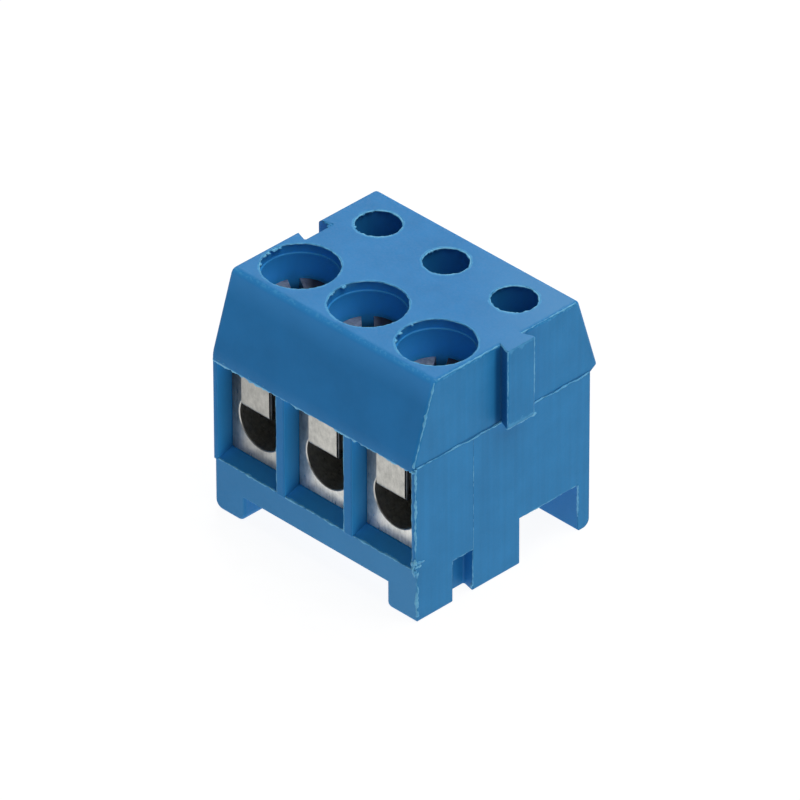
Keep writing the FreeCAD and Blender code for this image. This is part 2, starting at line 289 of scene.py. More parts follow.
def paint_front_light_and_shade(tree, colour):
    """Painted shade on the fronts above the sill, painted light below it to the right, and a painted
    highlight on the rounded brow.
    """
    depth = place_axis(tree, "Y")
    height = place_axis(tree, "Z")
    facing = facing_axis(tree, "Y")
    near_front = between(tree, depth, (FRONT + 3.0) * MM, (FRONT + 2.5) * MM)
    on_front = product(tree, between(tree, facing, 0.7, 0.9), near_front)
    above_sill = between(tree, height, (SILL_TOP - 0.05) * MM, (SILL_TOP + 0.05) * MM)
    below_sill = calculate(tree, "SUBTRACT", 1.0, above_sill)
    to_right = between(tree, place_axis(tree, "X"), -16.0 * MM, 24.0 * MM)
    outermost = between(tree, depth, (FRONT + 1.0) * MM, (FRONT + 0.8) * MM)
    brow = between(tree, height, (TOP - 1.5) * MM, (TOP - 0.05) * MM)
    brow = product(tree, brow, between(tree, facing, 0.3, 0.8), 0.6)

    # painted shade over the fronts above the sill
    colour = blend(tree, product(tree, on_front, above_sill), colour, FRONT_PAINTED_SHADE, "MULTIPLY")
    lower_front = product(tree, on_front, below_sill, to_right, outermost)
    # painted light on the lower front, growing to the right
    colour = blend(tree, lower_front, colour, PLASTIC_PAINTED_SILL_LIGHT)
    # painted highlight on the brow under the top's front edge
    return blend(tree, brow, colour, PLASTIC_PAINTED_HIGHLIGHT)


def paint_hollow_light_and_shade(tree, colour, open_air):
    """Painted light in the wells and pockets, and painted shade where they are deep."""
    depth = place_axis(tree, "Y")
    height = place_axis(tree, "Z")
    from_middle = calculate(tree, "ABSOLUTE", place_axis(tree, "X"))
    between_ends = between(tree, from_middle, (HALF_BODY - 0.05) * MM, (HALF_BODY - 0.2) * MM)
    behind_wells = (TEST_HOLE_Y - 2.0) * MM
    before_test_holes = between(tree, depth, behind_wells, behind_wells - 0.1 * MM)
    inside = product(tree, between_ends, before_test_holes)

    above_feet = between(tree, height, (SILL_TOP - 0.14) * MM, (SILL_TOP - 0.04) * MM)
    hollow = product(tree, between(tree, open_air, 0.6, 0.25), above_feet, inside)
    # painted light inside the wells and pockets
    colour = blend(tree, hollow, colour, PLASTIC_PAINTED_HOLLOW_LIGHT)
    # painted shade in the wells, below the screw heads
    below_heads = band(tree, height, SPLIT * MM, 11.6 * MM, 0.5 * MM)
    colour = blend(tree, product(tree, hollow, below_heads, 0.7), colour, PLASTIC_PAINTED_SHADE)

    pocket_height = band(tree, height, (SILL_TOP + 0.1) * MM, CAP_BOTTOM * MM, 0.1 * MM)
    walls = product(tree, pocket_height, on_ends(tree), inside)
    # painted light on the pockets' end walls
    colour = blend(tree, product(tree, walls, 0.5), colour, PLASTIC_PAINTED_HOLLOW_LIGHT)
    # painted shade, darker deeper into the pockets
    deep = between(tree, depth, (FRONT + 0.3) * MM, (FRONT + 1.5) * MM)
    colour = blend(tree, product(tree, walls, deep, 0.85), colour, PLASTIC_PAINTED_SHADE)
    # painted light on the pockets' floors
    low = band(tree, height, (SILL_TOP - 0.1) * MM, (SILL_TOP + 1.0) * MM, 0.03 * MM)
    pocket_floor = product(tree, low, between(tree, facing_axis(tree, "Z"), 0.5, 0.7), inside, 0.3)
    return blend(tree, pocket_floor, colour, PLASTIC_PAINTED_HOLLOW_LIGHT)


def paint_right_end_light_and_shade(tree, colour):
    """Painted shade at the upper rib's root, a fine painted shadow line above the lower groove, and a
    painted sheen that pales the top towards its back right corner.
    """
    along = place_axis(tree, "X")
    depth = place_axis(tree, "Y")
    height = place_axis(tree, "Z")
    root = RIB_Y - RIB_HALF_ROOT
    # painted shade at the upper rib's root
    root_shade = product(
        tree, 0.75,
        band(tree, depth, (root - 0.32) * MM, (root + 0.05) * MM, 0.22 * MM),
        band(tree, along, (HALF_CAP - 0.1) * MM, (RIB_TIP - 0.1) * MM, 0.03 * MM),
        band(tree, height, (SPLIT + 0.1) * MM, (TOP - 0.15) * MM, 0.08 * MM),
    )
    colour = blend(tree, root_shade, colour, PLASTIC_PAINTED_SHADE)

    # a fine painted shadow line above the lower groove
    line_y = GROOVE_Y + GROOVE_HALF_MOUTH + 0.01
    line = product(
        tree, 0.5,
        band(tree, depth, (line_y - 0.012) * MM, (line_y + 0.012) * MM, 0.02 * MM),
        band(tree, height, GROOVE_TOP * MM, (SPLIT - 0.1) * MM, 0.1 * MM),
        between(tree, along, (HALF_BODY - 0.1) * MM, (HALF_BODY - 0.05) * MM),
    )
    colour = blend(tree, line, colour, PLASTIC_PAINTED_SHADE)

    # painted sheen on the top, towards its back right corner
    corner = between(tree, calculate(tree, "ADD", along, depth), 4.0 * MM, 11.0 * MM)
    corner = product(tree, corner, between(tree, facing_axis(tree, "Z"), 0.8, 0.95))
    return blend(tree, corner, colour, PLASTIC_PAINTED_SHEEN)


def paint_edge_highlights(tree, colour, open_air):
    """Pales sharp edges with a painted highlight broken up by noise, and adds the painted highlights
    round the top; also gives the softened normal that finds them.
    """
    mask, soft_normal = edge_mask(tree, 0.095 * MM)
    # noise breaks the painted edge highlight into chips
    chips = between(tree, noise_of(tree, 3200.0, detail=3.0), 0.32, 0.62)
    highlit_edges = product(tree, mask, between(tree, open_air, 0.55, 0.8), chips, 0.85)
    highlight_bands = (
        top_edge_highlights(tree),
        end_edge_highlights(tree),
        rim_highlights(tree, TEST_HOLE_Y, TEST_HOLE_RADIUS, 0.11),
        rim_highlights(tree, WELL_Y, WELL_RADIUS, 0.09),
    )
    for one_highlight in highlight_bands:
        highlit_edges = calculate(tree, "MAXIMUM", highlit_edges, one_highlight)
    return blend(tree, highlit_edges, colour, PLASTIC_FLASH_AND_HIGHLIGHT), soft_normal


def moulded_plastic():
    """Blue polyamide: satin and faintly cloudy, with painted light and shade on its fronts, in its
    hollows and on its right end, and painted highlights on its edges.
    """
    material, tree, shader = new_material("blue_polyamide")
    clouds = noise_of(tree, 420.0, detail=5.0, roughness=0.6)
    draw_lines = noise_of(tree, 3600.0, detail=3.0, stretch=(1.0, 1.0, 0.02))
    grain = noise_of(tree, 8000.0, detail=3.0)
    open_air = openness(tree, 6.0 * MM)

    colour = ramp(tree, clouds, [(0.32, PLASTIC_DEEP), (0.68, PLASTIC_BODY)])
    # the draw lines' colour shows on the two ends only
    streaks = ramp(tree, draw_lines, [(0.3, (0.95, 1.0, 0.95)), (0.7, (1.03, 1.10, 1.03))])
    ends = on_ends(tree)
    colour = blend(tree, ends, colour, streaks, "MULTIPLY")
    colour = paint_front_light_and_shade(tree, colour)
    colour = paint_hollow_light_and_shade(tree, colour, open_air)
    colour = paint_right_end_light_and_shade(tree, colour)

    # painted shade: a dark band just above the line where the mould halves met
    split_shade = band(tree, place_axis(tree, "Z"), (SPLIT + 0.05) * MM, (SPLIT + 0.09) * MM, 0.05 * MM)
    colour = blend(tree, product(tree, split_shade, ends, 0.5), colour, PLASTIC_PAINTED_SHADE)
    colour, soft_normal = paint_edge_highlights(tree, colour, open_air)
    tree.links.new(colour, shader.inputs["Base Color"])

    tree.links.new(ramp(tree, grain, [(0.35, 0.42), (0.65, 0.56)]), shader.inputs["Roughness"])
    shader.inputs["Specular IOR Level"].default_value = 0.17
    normal = bumped(tree, clouds, 0.012 * MM, 0.3, soft_normal)
    normal = bumped(tree, draw_lines, 0.003 * MM, 0.4, normal)
    normal = bumped(tree, grain, 0.002 * MM, 0.6, normal)
    tree.links.new(normal, shader.inputs["Normal"])
    return material


def thin_plastic():
    """Flash: the same plastic, so thin that it is much paler."""
    material, tree, shader = new_material("blue_polyamide_flash")
    clouds = noise_of(tree, 3500.0, detail=3.0)
    colour = ramp(tree, clouds, [(0.36, PLASTIC_FLASH_AND_HIGHLIGHT), (0.62, PLASTIC_THIN)])
    tree.links.new(colour, shader.inputs["Base Color"])
    tree.links.new(ramp(tree, clouds, [(0.3, 0.35), (0.7, 0.55)]), shader.inputs["Roughness"])
    shader.inputs["Specular IOR Level"].default_value = 0.3
    tree.links.new(bumped(tree, clouds, 0.01 * MM, 0.5), shader.inputs["Normal"])
    return material


def brushed_metal(name, dark, light, smoothest, roughest, stretch, groove_depth):
    """A plated or rolled metal; its fine lines run along the axis that stretch squeezes."""
    material, tree, shader = new_material(name)
    shader.inputs["Metallic"].default_value = 0.9
    lines = noise_of(tree, 7500.0, detail=4.0, stretch=stretch)
    stains = noise_of(tree, 2300.0, detail=5.0, roughness=0.7)
    shade = calculate(tree, "ADD", product(tree, lines, 0.4), product(tree, stains, 0.6))
    tree.links.new(ramp(tree, shade, [(0.36, dark), (0.62, light)]), shader.inputs["Base Color"])
    tree.links.new(ramp(tree, lines, [(0.3, smoothest), (0.7, roughest)]), shader.inputs["Roughness"])
    normal = bumped(tree, lines, groove_depth * MM, 0.5)
    normal = bumped(tree, stains, 2 * groove_depth * MM, 0.4, normal)
    tree.links.new(normal, shader.inputs["Normal"])
    return material


def base_colour(material):
    """A material's node tree, the colour it has so far, and the input that takes a new one."""
    tree = material.node_tree
    shader = next(node for node in tree.nodes if node.type == "BSDF_PRINCIPLED")
    colour_input = shader.inputs["Base Color"]
    return tree, colour_input.links[0].from_socket, colour_input


def along_row(tree, first, others):
    """A grey that runs from one value at the first pole to another at the second and third."""
    share = between(tree, place_axis(tree, "X"), POLE_X[0] * MM, POLE_X[1] * MM)
    return ramp(tree, share, [(0.0, first), (1.0, others)])


def guard_metal():
    """Rolled strip; its sheared sides are painted dark as shade, with one bright line, a painted
    highlight on the band where the cut broke away.
    """
    material = brushed_metal(
        "rolled_stainless", dark=(0.36, 0.355, 0.33), light=(0.56, 0.55, 0.51),
        smoothest=0.34, roughest=0.48, stretch=(1, 1, 0.4), groove_depth=0.002,
    )
    tree, rolled, colour_input = base_colour(material)
    # painted shade on the sheared sides, with a painted highlight line across them
    cut = between(tree, facing_axis(tree, "X"), 0.6, 0.8)
    depth = place_axis(tree, "Y")
    highlight_line = band(tree, depth, (GUARD_FRONT + 0.13) * MM, (GUARD_FRONT + 0.17) * MM, 0.02 * MM)
    cut_shade_and_highlight = ramp(tree, highlight_line, [(0.0, (0.05, 0.052, 0.055)), (1.0, (0.62, 0.62, 0.60))])
    # painted shade on the first pole's strip
    rolled = blend(tree, 1.0, rolled, along_row(tree, 0.90, 1.12), "MULTIPLY")
    tree.links.new(blend(tree, cut, rolled, cut_shade_and_highlight), colour_input)
    return material


def block_metal():
    """Nickel plate with painted light and shade on its front: brighter towards the foot and away from the
    first pole.
    """
    material = brushed_metal(
        "nickel_plate", dark=(0.44, 0.44, 0.42), light=(0.68, 0.67, 0.63),
        smoothest=0.27, roughest=0.36, stretch=(1, 1, 0.2), groove_depth=0.002,
    )
    tree, plain, colour_input = base_colour(material)
    # painted light and shade: the front darker high up, brighter towards the foot
    to_foot = between(tree, place_axis(tree, "Z"), 7.6 * MM, 4.2 * MM)
    on_front = between(tree, facing_axis(tree, "Y"), 0.7, 0.9)
    shaded = blend(tree, on_front, plain, ramp(tree, to_foot, [(0.0, 0.62), (1.0, 1.42)]), "MULTIPLY")
    # painted shade on the first pole's block
    shaded = blend(tree, on_front, shaded, along_row(tree, 0.60, 1.05), "MULTIPLY")
    tree.links.new(shaded, colour_input)
    return material


def screw_metal():
    """Zinc plate with a painted shadow over one side of the head, and painted shade down in the slot."""
    material = brushed_metal(
        "zinc_plate", dark=(0.26, 0.27, 0.29), light=(0.50, 0.52, 0.55),
        smoothest=0.34, roughest=0.48, stretch=(1, 1, 1), groove_depth=0.001,
    )
    tree, clean, colour_input = base_colour(material)
    # painted shadow over the side of the head away from the light
    behind_axis = calculate(tree, "SUBTRACT", place_axis(tree, "Y"), WELL_Y * MM)
    to_dark_side = calculate(tree, "ADD", across_pole(tree), behind_axis)
    shadow_share = between(tree, to_dark_side, -0.3 * MM, 0.9 * MM)
    shadowed_head = blend(tree, shadow_share, clean, (0.040, 0.045, 0.060))
    # painted shade down in the slot
    slot_shade = between(tree, place_axis(tree, "Z"), 12.1 * MM, 11.9 * MM)
    tree.links.new(blend(tree, slot_shade, shadowed_head, (0.020, 0.022, 0.030)), colour_input)
    return material


def contact_metal():
    """Tin plate, brushed upwards."""
    return brushed_metal(
        "tin_plate", dark=(0.46, 0.45, 0.43), light=(0.66, 0.64, 0.60),
        smoothest=0.3, roughest=0.45, stretch=(1, 1, 0.2), groove_depth=0.001,
    )


def floor_material():
    """White paper that gives off some light of its own, so that shadows stay pale."""
    material, tree, shader = new_material("white_paper")
    fibres = noise_of(tree, 900.0, detail=3.0)
    tree.links.new(ramp(tree, fibres, [(0.3, 0.11), (0.7, 0.13)]), shader.inputs["Base Color"])
    shader.inputs["Roughness"].default_value = 0.9
    shader.inputs["Specular IOR Level"].default_value = 0.1
    shader.inputs["Emission Color"].default_value = (1.0, 1.0, 1.0, 1.0)
    shader.inputs["Emission Strength"].default_value = 0.93
    return material


# ---- carried-over CAD nodes ----
def dress(node_name, material):
    """Gives a CAD node its material."""
    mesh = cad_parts[node_name].data
    mesh.materials.clear()
    mesh.materials.append(material)


# ---- shape helpers ----
def on_circle(x, y, radius, angle, z):
    """The point at an angle, in radians, round a level circle."""
    return Vector((x + radius * math.cos(angle), y + radius * math.sin(angle), z))


def skin(shape, rings, closed=False):
    """Joins each ring of vertices to the next; the last meets the first, or both ends are capped."""
    pairs = list(zip(rings, rings[1:]))
    if closed:
        pairs.append((rings[-1], rings[0]))
    for ring, following in pairs:
        for corner in range(len(ring)):
            beside = (corner + 1) % len(ring)
            shape.faces.new((ring[corner], ring[beside], following[beside], following[corner]))
    if not closed:
        shape.faces.new(reversed(rings[0]))
        shape.faces.new(rings[-1])


# ---- flash: thin ragged plastic left along parting lines and rims ----
FLASH_STEP = 0.07
FLASH_SIDES = 7
FLASH_USUAL = 0.75
FLASH_THINNEST = 0.18
JOIN_STEPS = 6


def walk(route):
    """Points about FLASH_STEP apart along straight runs between the route's corners."""
    corners = [Vector(point) for point in route]
    points = []
    for start, end in zip(corners, corners[1:]):
        count = max(1, round((end - start).length / FLASH_STEP))
        points += [start.lerp(end, step / count) for step in range(count)]
    points.append(corners[-1])
    return points


def circle(x, y, z, radius):
    """Points about FLASH_STEP apart round a level circle."""
    count = round(radius * math.tau / FLASH_STEP)
    return [on_circle(x, y, radius, math.tau * step / count, z) for step in range(count)]


def wave(distance, rate, row, level):
    """Smooth noise along a ribbon; the row and level pick another line through it."""
    return noise.noise(Vector((distance * rate, row, level)))


def lumpiness(distance, seed):
    """How thick flash is here, as a share of its full thickness, with lumps and near gaps."""
    long_wave = wave(distance, 0.9, seed * 7.3, 0.5)
    short_wave = wave(distance, 4.7, seed * 3.1, 8.5)
    return max(FLASH_THINNEST, FLASH_USUAL + 0.9 * long_wave + 0.75 * short_wave)


def kept_inside(point):
    """The point, moved inside the housing's box."""
    hair = 0.002
    return Vector((
        min(max(point.x, HOUSING_LOW.x + hair), RIB_TIP - hair),
        min(max(point.y, FRONT + hair), BACK - hair),
        min(max(point.z, hair), TOP - hair),
    ))


def add_ribbon(shape, points, thick, tall, out, seed, closed=False, sway=0.0):
    """Adds one ragged tube to a bmesh, with its half sizes: thick across, and tall along out.

    The seed picks its lumps, and sway is how far it wanders from the points.
    """
    out = Vector(out).normalized()
    rings = []
    travelled = 0.0
    count = len(points)
    for index, point in enumerate(points):
        before = points[index - 1] if index or closed else point
        after = points[(index + 1) % count] if index + 1 < count or closed else point
        tangent = (after - before).normalized()
        side = tangent.cross(out).normalized()
        rise = side.cross(tangent)
        travelled += (point - before).length if index else 0.0
        lump = lumpiness(travelled, seed)
        if closed:
            # the lumps settle to one thickness where the tube meets itself
            own_share = min(1.0, min(index, count - index) / JOIN_STEPS)
            lump = lump * own_share + 0.6 * (1 - own_share)
        wander = wave(travelled, 3.1, seed * 5.7, 21.0)
        drift = wave(travelled, 0.8, seed * 4.1, 33.0)
        centre = point + side * (wander * thick * 0.6 + drift * sway)
        ring = []
        for corner in range(FLASH_SIDES):
            angle = math.tau * corner / FLASH_SIDES
            torn = 1.0 + 0.35 * wave(travelled, 6.0, corner * 1.7, seed * 2.3)
            offset = side * math.cos(angle) * thick + rise * math.sin(angle) * tall
            ring.append(shape.verts.new(kept_inside(centre + offset * lump * torn) * MM))
        rings.append(ring)
    skin(shape, rings, closed)


def add_scrap(shape, place, size, seed):
    """Adds one torn flake or lump of flash, with its three half sizes."""
    scrap = bmesh.ops.create_icosphere(shape, subdivisions=2, radius=1.0)["verts"]
    for vert in scrap:
        torn = 1.0 + 0.55 * noise.noise(vert.co * 1.9 + Vector((seed * 3.7, 0, 0)))
        point = Vector(place) + vert.co * Vector(size) * torn
        vert.co = kept_inside(point) * MM


def finish_piece(name, shape, material, body):
    """Turns a bmesh into a smooth-shaded piece that rides on a body."""
    bmesh.ops.recalc_face_normals(shape, faces=shape.faces)
    mesh = bpy.data.meshes.new(name)
    shape.to_mesh(mesh)
    shape.free()
    mesh.polygons.foreach_set("use_smooth", [True] * len(mesh.polygons))
    mesh.materials.append(material)
    piece = bpy.data.objects.new(name, mesh)
    bpy.context.scene.collection.objects.link(piece)
    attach(piece, body)
    return piece


def flash_piece(name, material, ribbons, scraps=()):
    """One piece of flash on the housing; a scrap is its place, half sizes and seed."""
    shape = bmesh.new()
    for ribbon in ribbons:
        add_ribbon(shape, **ribbon)
    for place, size, seed in scraps:
        add_scrap(shape, place, size, seed)
    return finish_piece(name, shape, material, "housing")


def make_cap_flash(material):
    """Along the cap's lower front edge, down its right front corner, and along its top right edge."""
    lump_y = FRONT + 0.06
    lip = walk([(-HALF_CAP + 0.1, FRONT + 0.03, CAP_BOTTOM), (HALF_CAP - 0.1, FRONT + 0.03, CAP_BOTTOM)])
    dividers = [x + side * HALF_POCKET for x in POLE_X for side in (-1, 1)]
    chance = random.Random(5)
    lumps = []
    for seed, x in enumerate(dividers[1:]):
        spread = chance.uniform(0.15, 0.3)
        place = (x + chance.uniform(-0.1, 0.1), lump_y, CAP_BOTTOM + 0.02)
        lumps.append((place, (spread, 0.06, 0.09), seed))
    for seed in range(70, 96):
        place = (chance.uniform(-7.0, 7.2), lump_y, CAP_BOTTOM + chance.uniform(-0.04, 0.06))
        lumps.append((place, (chance.uniform(0.05, 0.2), 0.05, chance.uniform(0.04, 0.09)), seed))
    flash_piece("flash_cap_lip", material, [
        dict(points=lip, thick=0.07, tall=0.12, out=(0, -0.4, 1), seed=1.0),
    ], lumps)

    corner_x = HALF_CAP - 0.05
    slanted = walk([(corner_x, TOP_FRONT + 0.05, TOP - 0.15), (corner_x, FRONT + 0.05, SPLIT + 0.1)])
    flash_piece("flash_cap_corner", material, [
        dict(points=slanted, thick=0.065, tall=0.06, out=(1, -1, 0.2), seed=2.0),
    ])

    rim_x = HALF_CAP - 0.045
    edge_z = TOP - 0.05
    front_edge = walk([(rim_x, TOP_FRONT + 0.3, edge_z), (rim_x, RIB_Y - RIB_HALF_ROOT, edge_z)])
    back_edge = walk([(rim_x, RIB_Y + RIB_HALF_ROOT, edge_z), (rim_x, TOP_BACK - 0.2, edge_z)])
    flash_piece("flash_cap_right", material, [
        dict(points=front_edge, thick=0.045, tall=0.045, out=(1, 0, 1), seed=3.0),
        dict(points=back_edge, thick=0.045, tall=0.045, out=(1, 0, 1), seed=4.0),
    ])


def make_split_flash(material):
    """Along the line where the mould halves met, on both ends of the block."""
    ribbons = []
    for number, end in enumerate((-1, 1)):
        x = end * (HALF_BODY - 0.01)
        ribbons.append(dict(
            points=walk([(x, WALL_FRONT + 0.1, SPLIT), (x, BODY_BACK - 0.05, SPLIT)]),
            thick=0.05, tall=0.05, out=(end, 0, 0.3), seed=5.0 + number, sway=0.12,
        ))
    flash_piece("flash_mould_split", material, ribbons)


def make_rib_flash(material):
    """On the upper rib's edges: both uprights, the top's outline and the torn lower end."""
    tip_x = RIB_TIP - 0.03
    root_x = HALF_CAP + 0.02
    front_y = RIB_Y - RIB_HALF_TIP + 0.07
    back_y = RIB_Y + RIB_HALF_TIP - 0.07
    top_z = TOP - 0.04
    low_z = SPLIT + 0.02
    uprights = [walk([(tip_x, y, low_z), (tip_x, y, top_z)]) for y in (front_y, back_y)]
    outline = walk([
        (root_x, RIB_Y - RIB_HALF_ROOT, top_z), (tip_x - 0.05, front_y, top_z),
        (tip_x, front_y + 0.08, top_z), (tip_x, back_y - 0.08, top_z),
        (tip_x - 0.05, back_y, top_z), (root_x, RIB_Y + RIB_HALF_ROOT, top_z),
    ])
    foot = walk([(tip_x, front_y, low_z), (tip_x, back_y, low_z)])
    chance = random.Random(11)
    bulges = []
    for seed in range(7):
        place = (tip_x - 0.1, chance.uniform(front_y, back_y), low_z - chance.uniform(0.0, 0.07))
        bulges.append((place, (0.12, chance.uniform(0.1, 0.28), chance.uniform(0.06, 0.12)), seed))
    flash_piece("flash_rib", material, [
        dict(points=uprights[0], thick=0.035, tall=0.035, out=(1, -1, 0), seed=7.0),
        dict(points=uprights[1], thick=0.045, tall=0.045, out=(1, 1, 0), seed=8.0),
        dict(points=outline, thick=0.07, tall=0.06, out=(0.3, 0, 1), seed=9.0),
        dict(points=foot, thick=0.06, tall=0.07, out=(0.5, 0, -1), seed=10.0),
    ], bulges)


def make_notch_flash(material):
    """A thin web across the far inner corner of the notch that the upper groove cuts in the top."""
    corner = Vector((-HALF_CAP + NOTCH_DEPTH, RIB_Y + NOTCH_HALF_FLOOR, TOP - 0.035))
    flash_piece("flash_notch", material, [], [
        (corner + Vector((-0.20, -0.14, 0)), (0.24, 0.17, 0.03), 80),
        (corner + Vector((-0.44, -0.22, 0)), (0.22, 0.15, 0.03), 81),
        (corner + Vector((-0.10, -0.34, -0.02)), (0.14, 0.16, 0.03), 82),
    ])


def make_hole_flash(material):
    """Ragged rims of the wells and test holes, with torn chips hanging just inside them."""
    for number, x in enumerate(POLE_X):
        rim_z = TOP - 0.035
        well = circle(x, WELL_Y, rim_z, WELL_RADIUS - 0.015)
        chance = random.Random(20 + number)
        chips = []
        for seed in range(9 if number == 0 else 4):
            angle = math.radians(chance.uniform(160, 225))
            place = on_circle(x, WELL_Y, WELL_RADIUS - chance.uniform(0.0, 0.05), angle, TOP - 0.07)
            size = (chance.uniform(0.06, 0.16), chance.uniform(0.06, 0.16), 0.065)
            chips.append((place, size, seed + 9))
        flash_piece(f"flash_well_{number + 1}", material, [
            dict(points=well, thick=0.035, tall=0.035, out=(0, 0, 1), seed=12.0 + number, closed=True),
        ], chips)

        test_hole = circle(x, TEST_HOLE_Y, rim_z, TEST_HOLE_RADIUS - 0.02)
        spikes = []
        for seed in range(12 if number == 0 else 6):
            angle = math.radians(chance.uniform(150, 350))
            place = on_circle(x, TEST_HOLE_Y, TEST_HOLE_RADIUS - 0.02, angle, TOP - 0.06)
            size = (chance.uniform(0.05, 0.11), chance.uniform(0.05, 0.11), 0.055)
            spikes.append((place, size, seed))
        seed = 16.0 + number
        flash_piece(f"flash_test_hole_{number + 1}", material, [
            dict(points=test_hole, thick=0.065, tall=0.045, out=(0, 0, 1), seed=seed, closed=True),
        ], spikes)


def make_front_flash(material):
    """On the sills' top edges, the walls' front edges and the torn right front corner."""
    ribbons = []
    scraps = []
    chance = random.Random(31)
    sill_y = SILL_FRONT + 0.02
    wall_y = WALL_FRONT + 0.03
    for number, x in enumerate(POLE_X):
        ribbons.append(dict(
            points=walk([(x - HALF_POCKET, sill_y, SILL_TOP), (x + HALF_POCKET, sill_y, SILL_TOP)]),
            thick=0.06, tall=0.075, out=(0, -0.4, 1), seed=40.0 + number, sway=0.04,
        ))
        for seed in range(3 + 2 * number):
            place = (x + chance.uniform(-2.0, 2.0), SILL_FRONT + 0.03, SILL_TOP)
            scraps.append((place, (chance.uniform(0.08, 0.2), 0.04, 0.05), seed))
        wall_x = x + HALF_POCKET + 0.03
        upright = walk([(wall_x, wall_y, SILL_TOP + 0.05), (wall_x, wall_y, CAP_BOTTOM)])
        ribbons.append(dict(points=upright, thick=0.028, tall=0.028, out=(-1, -1, 0), seed=44.0 + number))
    corner_x = HALF_BODY - 0.03
    corner = walk([(corner_x, SILL_FRONT + 0.03, 0.35), (corner_x, SILL_FRONT + 0.03, SILL_TOP)])
    ribbons.append(dict(points=corner, thick=0.09, tall=0.05, out=(1, -1, 0), seed=48.0))
    upper = walk([(corner_x, wall_y, SILL_TOP), (corner_x, wall_y, SPLIT)])
    ribbons.append(dict(points=upper, thick=0.07, tall=0.06, out=(1, -1, 0), seed=49.0))
    tuft = Vector((corner_x, WALL_FRONT, SILL_TOP))
    for seed in range(9):
        place = tuft + Vector((chance.uniform(-0.22, 0.03), 0.0, chance.uniform(-0.1, 0.7)))
        scraps.append((place, (chance.uniform(0.05, 0.12), 0.06, chance.uniform(0.1, 0.22)), 50 + seed))
    for seed in range(4):
        place = tuft + Vector((0.03, chance.uniform(0.05, 0.5), 0.3 + chance.uniform(0, 0.35)))
        scraps.append((place, (0.04, chance.uniform(0.1, 0.2), chance.uniform(0.05, 0.1)), 60 + seed))
    flash_piece("flash_front", material, ribbons, scraps)


def make_lower_flash(material):
    """Round the header channel and lower groove on the right end, and up a fine line above them."""
    x = HALF_BODY - 0.02
    channel = walk([(x, FOOT_BACK + 0.05, CHANNEL_TOP), (x, CHANNEL_BACK, CHANNEL_TOP)])
    rear_foot = walk([(x, CHANNEL_BACK, CHANNEL_TOP), (x, CHANNEL_BACK + 0.02, 0.35)])
    front = GROOVE_Y - GROOVE_HALF_MOUTH
    back = GROOVE_Y + GROOVE_HALF_MOUTH
    groove = walk([(x, front, 0.3), (x, front, GROOVE_TOP), (x, back, GROOVE_TOP), (x, back, 0.3)])
    witness_x = HALF_BODY - 0.004
    witness = walk([(witness_x, back + 0.03, GROOVE_TOP), (witness_x, back + 0.03, SPLIT - 0.15)])
    flash_piece("flash_lower", material, [
        dict(points=witness, thick=0.018, tall=0.012, out=(1, 0, 0), seed=63.0),
        dict(points=channel, thick=0.035, tall=0.035, out=(1, 0, -0.5), seed=60.0),
        dict(points=rear_foot, thick=0.04, tall=0.04, out=(1, -0.5, 0), seed=61.0),
        dict(points=groove, thick=0.03, tall=0.03, out=(1, 0, 0), seed=62.0),
    ], [((x - 0.1, back + 0.1, 0.25), (0.1, 0.12, 0.2), 7)])


# ---- clamp screws: M3 with a slotted cheese head, threaded all the way up ----
THREAD_PITCH = 0.5
THREAD_MINOR = 1.2
THREAD_MAJOR = 1.47
THREAD_ROWS = 8
SCREW_SIDES = 48
TIP_RADIUS = THREAD_MINOR - 0.1
TIP_CHAMFER = 0.3
HEAD_RADIUS = 1.9
HEAD_HEIGHT = 1.3
HEAD_CHAMFER = 0.15
HEAD_UNDERCUT = 0.05
SLOT_DEPTH = 0.75
SLOT_HALF_WIDTH = 0.325


def thread_radius(height, turn):
    """The thread's radius at a height, and at a turn round the axis from 0 to 1."""
    place = (height / THREAD_PITCH - turn) % 1.0
    # the crest is flat at the middle of the pitch, and straight flanks fall to flat roots
    share = min(1.0, max(0.0, 1.15 - abs(place - 0.5) * 2.6))
    return THREAD_MINOR + (THREAD_MAJOR - THREAD_MINOR) * share


def level_row(height, radius):
    """A row of a turned shape that is round."""
    return height, [radius] * SCREW_SIDES


def add_turned_shape(shape, axis, rows):
    """Adds a closed turned solid from rows of (height, radius at each side), lowest first."""
    rings = []
    for height, radii in rows:
        ring = []
        for side, radius in enumerate(radii):
            place = on_circle(axis.x, axis.y, radius, math.tau * side / SCREW_SIDES, height)
            ring.append(shape.verts.new(place * MM))
        rings.append(ring)
    skin(shape, rings)


def add_head_half(shape, axis, slot_angle, bottom, top):
    """Adds the part of the head on one side of the slot, with its chamfered rim."""
    outline = (
        (bottom, HEAD_RADIUS),
        (top - HEAD_CHAMFER, HEAD_RADIUS),
        (top, HEAD_RADIUS - HEAD_CHAMFER),
    )
    steps = SCREW_SIDES // 2
    rings = []
    for height, radius in outline:
        start = math.asin(SLOT_HALF_WIDTH / radius)
        ring = []
        for step in range(steps + 1):
            angle = slot_angle + start + (math.pi - 2 * start) * step / steps
            ring.append(shape.verts.new(on_circle(axis.x, axis.y, radius, angle, height) * MM))
        rings.append(ring)
    skin(shape, rings)


